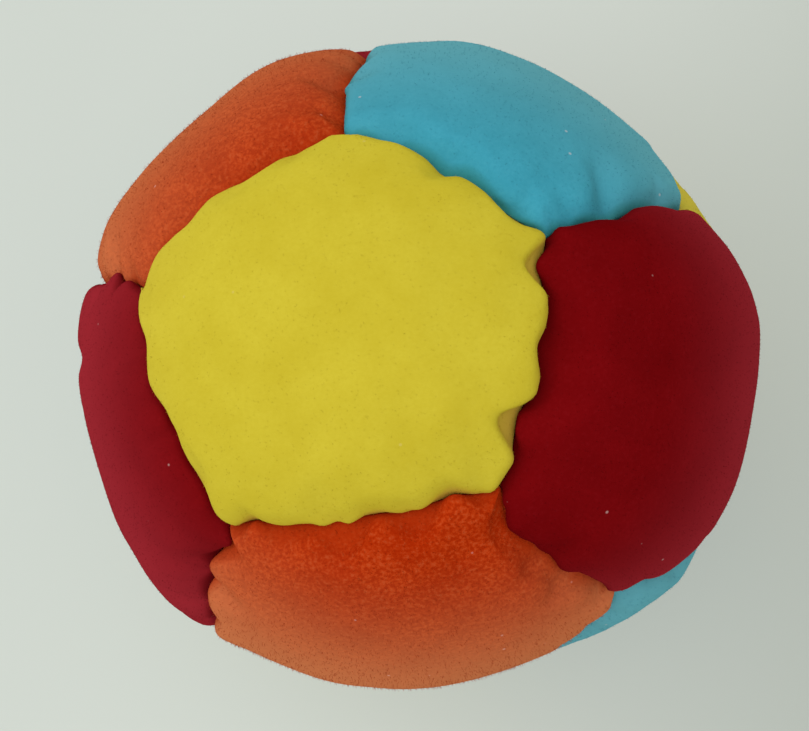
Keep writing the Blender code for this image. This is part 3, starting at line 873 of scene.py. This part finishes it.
def nap_tree():
    """Short hairs that stand on the outer face of a suede panel, each a thin spike leaning its own way."""
    tree, given = new_tree(
        "suede nap",
        {
            "Hairs per square metre": "Float",
            "Hair length": "Float",
            "Hair thickness": "Float",
            "Lowest hair": "Float",
            "Seed": "Int",
            "Fibres": "Material",
        },
    )
    side = add(
        tree, "GeometryNodeInputNamedAttribute", {"Name": "nap_side"}, data_type="FLOAT"
    ).outputs["Attribute"]
    height = add(
        tree, "ShaderNodeSeparateXYZ", {"Vector": add(tree, "GeometryNodeInputPosition", {}).outputs[0]}
    ).outputs["Z"]
    outer = add(tree, "FunctionNodeCompare", {"A": side, "B": 0.99}, operation="GREATER_EQUAL").outputs[0]
    clear = add(
        tree, "FunctionNodeCompare", {"A": height, "B": given["Lowest hair"]}, operation="GREATER_THAN"
    ).outputs[0]
    hairy = add(tree, "FunctionNodeBooleanMath", {0: outer, 1: clear}, operation="AND").outputs[0]
    spread = add(
        tree,
        "GeometryNodeDistributePointsOnFaces",
        {
            "Mesh": given["Geometry"],
            "Selection": hairy,
            "Density": given["Hairs per square metre"],
            "Seed": given["Seed"],
        },
    )
    ruffle = add(
        tree,
        "FunctionNodeRandomValue",
        {0: (-RUFFLE, -RUFFLE, -RUFFLE), 1: (RUFFLE, RUFFLE, RUFFLE), "Seed": given["Seed"]},
        data_type="FLOAT_VECTOR",
    ).outputs[0]
    brushed = add(tree, "ShaderNodeVectorMath", {0: ruffle, 1: BRUSHED}, operation="ADD").outputs[0]
    leaning = add(
        tree, "ShaderNodeVectorMath", {0: spread.outputs["Normal"], 1: brushed}, operation="ADD"
    ).outputs[0]
    turn = add(tree, "FunctionNodeAlignRotationToVector", {"Vector": leaning}, axis="Z").outputs["Rotation"]
    hair = add(
        tree, "GeometryNodeMeshCone", {"Vertices": 3, "Radius Bottom": 0.5, "Depth": 1.0}
    ).outputs["Mesh"]
    uneven = add(
        tree,
        "FunctionNodeRandomValue",
        {2: SHORTEST_HAIR, 3: 1.0, "Seed": given["Seed"]},
        data_type="FLOAT",
    ).outputs[1]
    length = add(
        tree, "ShaderNodeMath", {0: given["Hair length"], 1: uneven}, operation="MULTIPLY"
    ).outputs[0]
    size = add(
        tree,
        "ShaderNodeCombineXYZ",
        {"X": given["Hair thickness"], "Y": given["Hair thickness"], "Z": length},
    ).outputs[0]
    end_tree(tree, spread.outputs["Points"], hair, turn, size, given["Fibres"])
    return tree


PELLET = 2.9 * MM
PELLET_FLAT_SHARE = 0.75  # thickness of a pellet, as a share of its width
PELLET_SCATTER = 0.12 * MM
PELLETS_ASIDE = 25  # more than lie between the bag's middle and its side
PELLET_GAP = 0.3 * MM  # from the suede
PELLET_SEAM_GAP = 0.8 * MM  # from the sides of a seam's allowances
PELLET_UNDER_GAP = 0.5 * MM  # from their inner edges


def pellet_places():
    """Where the pellets lie: packed as closely as balls, shaken a little, wherever the cover leaves room."""
    layer = PELLET * math.sqrt(2 / 3) * CROWN_RADIUS / HALF_HEIGHT
    layers = int(CROWN_RADIUS / layer)
    rows = []
    for k in range(-layers, layers + 1):
        for j in range(-PELLETS_ASIDE, PELLETS_ASIDE + 1):
            for i in range(-PELLETS_ASIDE, PELLETS_ASIDE + 1):
                x = (i + 0.5 * (j % 2) + 0.5 * (k % 2)) * PELLET
                y = (j * math.sqrt(3) / 2 + (k % 2) * math.sqrt(3) / 6) * PELLET
                rows.append((x, y, k * layer))
    places = np.array(rows)
    places = places + np.random.default_rng(3).uniform(-PELLET_SCATTER, PELLET_SCATTER, places.shape)
    far = np.linalg.norm(places, axis=1)
    directions = places / np.maximum(far, MM)[:, None]
    nearest = np.argmax(directions @ np.array(list(MIDDLES.values())).T, axis=1)
    half = PELLET / 2
    kept = []
    for number, name in enumerate(LOOPS):
        mine = nearest == number
        room = CREASE_RADIUS + crown(name, directions[mine]) - SUEDE - half - PELLET_GAP
        inside = far[mine] < room
        for start, end in sides(name):
            off_seam = places[mine] @ unit(np.cross(ENDS[start], ENDS[end]))
            below = far[mine] < CREASE_RADIUS - SEAM_ALLOWANCE - half - PELLET_UNDER_GAP
            inside &= below | (off_seam > SEAM_GAP / 2 + SUEDE + PELLET_SEAM_GAP + half)
        kept.append(places[mine][inside])
    lying = settled(np.concatenate(kept))
    return lying[lying[:, 2] > SUEDE + half]


def pellet_tree():
    """A pellet on every point of a mesh, each turned its own way."""
    tree, given = new_tree(
        "pellets", {"Pellet width": "Float", "Flatness": "Float", "Seed": "Int", "Plastic": "Material"}
    )
    bead = add(
        tree, "GeometryNodeMeshUVSphere", {"Segments": 8, "Rings": 5, "Radius": 0.5}
    ).outputs["Mesh"]
    turn = add(
        tree,
        "FunctionNodeRandomValue",
        {0: (0.0, 0.0, 0.0), 1: (math.pi, math.pi, math.tau), "Seed": given["Seed"]},
        data_type="FLOAT_VECTOR",
    ).outputs[0]
    flat = add(
        tree, "ShaderNodeMath", {0: given["Pellet width"], 1: given["Flatness"]}, operation="MULTIPLY"
    ).outputs[0]
    size = add(
        tree, "ShaderNodeCombineXYZ", {"X": given["Pellet width"], "Y": given["Pellet width"], "Z": flat}
    ).outputs[0]
    end_tree(tree, given["Geometry"], bead, turn, size, given["Plastic"])
    return tree


# The pellets, in place of the CAD model's solid filling
heap = bpy.data.meshes.new("pellet places")
heap.from_pydata(pellet_places().tolist(), [], [])
heap_holder = bpy.data.objects.new("pellet places", heap)
bpy.context.scene.collection.objects.link(heap_holder)
pellets = grown(
    "pellets",
    heap_holder,
    pellet_tree(),
    {"Pellet width": PELLET, "Flatness": PELLET_FLAT_SHARE, "Seed": 5, "Plastic": pellet_material()},
)
bpy.data.objects.remove(heap_holder)
pellets.data.shade_smooth()
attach(pellets, "root")
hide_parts("filling")

# The suede panels and their nap. Each panel is cut from a flat pentagon whose side is a seam, made longer
# by the allowances of the two beside it.
suedes = {colour: suede_material(colour) for colour in SUEDES}
fibres = {colour: nap_material(colour) for colour in SUEDES}
moves = simulate_puff()
nap = nap_tree()
for number, (name, colour) in enumerate(PANEL_COLOURS.items()):
    panel = make_panel(name, moves[name])
    panel.data.materials.append(suedes[colour])
    hairs = grown(
        name + "_nap",
        panel,
        nap,
        {
            "Hairs per square metre": HAIRS_PER_MM2[colour] / (MM * MM),
            "Hair length": HAIR_LENGTH[colour],
            "Hair thickness": HAIR_THICKNESS,
            "Lowest hair": NAP_FLOOR,
            "Seed": number,
            "Fibres": fibres[colour],
        },
    )
    for piece in (panel, hairs):
        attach(piece, "root")
    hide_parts(name)

# The threads keep their CAD shape
waxed = thread_material()
for name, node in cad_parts.items():
    if "thread" in name:
        node.data.materials.clear()
        node.data.materials.append(waxed)


# The table, in metres, and the light and shade painted on it from one side of the view to the other, darkest
# at the far end, by share of the way
TABLE_HALF = 1.5
TABLE_PAINTED_SHADES = {0.0: "#CBD1C9", 0.35: "#D0D6CE", 0.65: "#C9CEC6", 1.0: "#AFB5AC"}
PAINTED_SHADES_REACH = 48 * MM  # from the middle of the view to the first and the last painted shade
PAINTED_SHADES_TURN = math.radians(20)  # which way they follow each other, clockwise from the right
FLOOR_GLOW = 0.6  # how much of the table is seen as evenly lit, which leaves the rest to the bag's shadow


def make_floor():
    """A pale, matt table top, much larger than the view, with light and shade painted across it."""
    mesh = bpy.data.meshes.new("floor")
    corners = [(x * TABLE_HALF, y * TABLE_HALF, 0) for x, y in ((-1, -1), (1, -1), (1, 1), (-1, 1))]
    mesh.from_pydata(corners, [], [(0, 1, 2, 3)])
    floor = bpy.data.objects.new("floor", mesh)
    bpy.context.scene.collection.objects.link(floor)
    made, tree, shader = new_material("table_laminate_matt", {"Roughness": 0.9})
    place = add(tree, "ShaderNodeTexCoord", {}).outputs["Object"]
    # painted light and shade: the table's colour runs lighter and darker across the view
    across = add(
        tree,
        "ShaderNodeVectorMath",
        {0: place, 1: (math.cos(PAINTED_SHADES_TURN), -math.sin(PAINTED_SHADES_TURN), 0)},
        operation="DOT_PRODUCT",
    ).outputs["Value"]
    share = add(
        tree, "ShaderNodeMapRange", {"Value": across, "From Min": -PAINTED_SHADES_REACH, "From Max": PAINTED_SHADES_REACH}
    ).outputs["Result"]
    painted_shades = add(tree, "ShaderNodeValToRGB", {"Fac": share})
    painted_shades.color_ramp.interpolation = "B_SPLINE"
    stops = painted_shades.color_ramp.elements
    for way in list(TABLE_PAINTED_SHADES)[1:-1]:
        stops.new(way)
    for stop, shade in zip(stops, TABLE_PAINTED_SHADES.values()):
        stop.color = linear(shade)
    colour = painted_shades.outputs["Color"]
    tree.links.new(colour, shader.inputs["Base Color"])
    seen = add(tree, "ShaderNodeLightPath", {}).outputs
    direct = seen["Is Camera Ray"]
    for ray in ("Is Glossy Ray", "Is Transmission Ray"):
        direct = add(tree, "ShaderNodeMath", {0: direct, 1: seen[ray]}, operation="MAXIMUM").outputs[0]
    lit = add(tree, "ShaderNodeMath", {0: direct, 1: FLOOR_GLOW}, operation="MULTIPLY").outputs[0]
    glow = add(tree, "ShaderNodeEmission", {"Color": colour, "Strength": 1.0}).outputs["Emission"]
    mixed = add(tree, "ShaderNodeMixShader", {0: lit, 1: shader.outputs["BSDF"], 2: glow}).outputs["Shader"]
    out = next(node for node in tree.nodes if node.type == "OUTPUT_MATERIAL")
    tree.links.new(mixed, out.inputs["Surface"])
    mesh.materials.append(made)


def make_lamp(name, place, aim, size, watts):
    """A square soft white light at a place, turned to face a point."""
    light = bpy.data.lights.new(name, "AREA")
    light.size, light.energy = size, watts
    lamp = bpy.data.objects.new(name, light)
    lamp.location = place
    lamp.rotation_mode = "QUATERNION"
    lamp.rotation_quaternion = (Vector(aim) - Vector(place)).to_track_quat("-Z", "Y")
    bpy.context.scene.collection.objects.link(lamp)


make_floor()
bag_middle = (*CENTRING[:2], MIDDLE_HEIGHT)
# Each lamp's place and width in metres, and its power in watts
LAMPS = (
    ("ceiling light", (-0.1, 0.1, 0.9), 1.5, 8.7),
    ("right window", (0.6, -0.8, 0.35), 0.8, 1.35),
    ("left window", (-0.9, -0.2, 0.3), 0.8, 1.0),
)
for name, place, size, watts in LAMPS:
    make_lamp(name, place, bag_middle, size, watts)
WALLS = "#F2F5F4"
WALL_LIGHT = 0.62  # how strongly the walls send light back
world = bpy.data.worlds.new("room")
world.use_nodes = True
walls = world.node_tree.nodes["Background"].inputs
walls["Color"].default_value = linear(WALLS)
walls["Strength"].default_value = WALL_LIGHT
bpy.context.scene.world = world

# The camera looks almost straight down, from above the right of the front panel
CAMERA_DISTANCE = 180 * MM
CAMERA_TILT = math.radians(14.2)
CAMERA_AZIMUTH = math.radians(-36.0)
CAMERA_ROLL = math.radians(-4.64)
SENSOR_WIDTH = 36  # in millimetres, as Blender takes it and the next
FOCAL_LENGTH = 92.23
PHOTO_WIDTH = 809  # in pixels
PHOTO_SHIFT = (-0.5, -3.3)  # how far the bag lies from the photograph's middle, in its pixels
back = Vector(facing(CAMERA_TILT, CAMERA_AZIMUTH))
level_right = Vector((0, 1, 0)).cross(back).normalized()
level_up = back.cross(level_right)
right = level_right * math.cos(CAMERA_ROLL) + level_up * math.sin(CAMERA_ROLL)
camera_up = level_up * math.cos(CAMERA_ROLL) - level_right * math.sin(CAMERA_ROLL)
lens = bpy.data.cameras.new("camera")
lens.sensor_width = SENSOR_WIDTH
lens.lens = FOCAL_LENGTH
lens.clip_start, lens.clip_end = 0.01, 10
lens.shift_x, lens.shift_y = (pixels / PHOTO_WIDTH for pixels in PHOTO_SHIFT)
camera = bpy.data.objects.new("camera", lens)
camera.matrix_world = Matrix.Translation(Vector(bag_middle) + back * CAMERA_DISTANCE) @ Matrix(
    (right, camera_up, back)
).transposed().to_4x4()
bpy.context.scene.collection.objects.link(camera)
bpy.context.scene.camera = camera
bpy.context.scene.view_settings.view_transform = "Standard"
